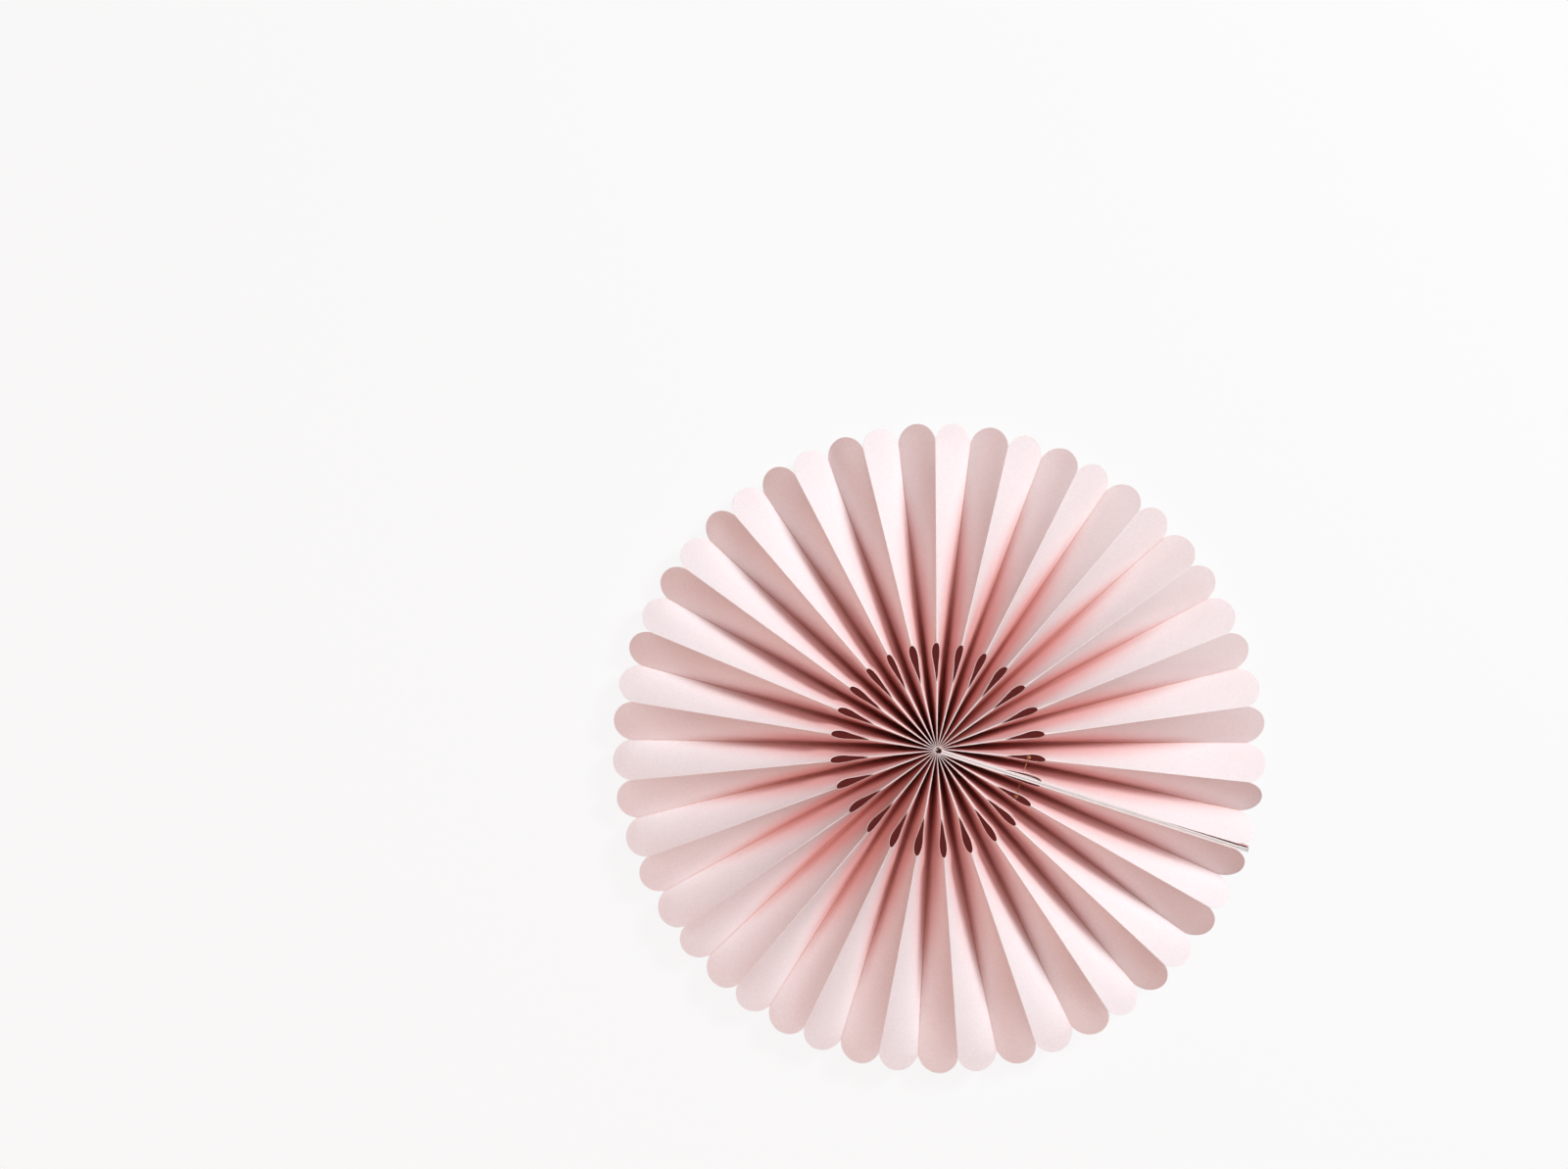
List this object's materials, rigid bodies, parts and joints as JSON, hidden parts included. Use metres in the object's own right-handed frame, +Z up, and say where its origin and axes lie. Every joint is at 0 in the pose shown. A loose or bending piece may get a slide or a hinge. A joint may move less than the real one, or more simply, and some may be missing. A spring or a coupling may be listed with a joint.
{
  "type": "paper fan rosette",
  "caption": "Round wall decoration of pleated pink paper, closed into a disc at one joint between two white cards, with rounded tips and teardrop cut-outs on its ridges.",
  "frame": {"origin": "on the disc's axis, halfway through its depth", "axes": "+X to the right and +Z up as the front is seen on the wall, +Y back into the wall along the disc's axis, so the front looks to -Y"},
  "size_m": [0.329, 0.021, 0.329],
  "materials": {
    "pink_paper": "matt, uncoated and smooth",
    "white_card": "matt, with paler cut edges",
    "double_sided_tape": "soft foam, matt",
    "white_thread": "twisted cotton",
    "joint_tie": "tightly knotted cord, matt"
  },
  "bodies": {
    "root": {"pleated_paper": "pink_paper", "upper_end_card": "white_card", "lower_end_card": "white_card", "inner_tape_pad": "double_sided_tape", "outer_tape_pad": "double_sided_tape", "gathering_thread": "white_thread", "joint_tie": "joint_tie"}
  },
  "joints": []
}
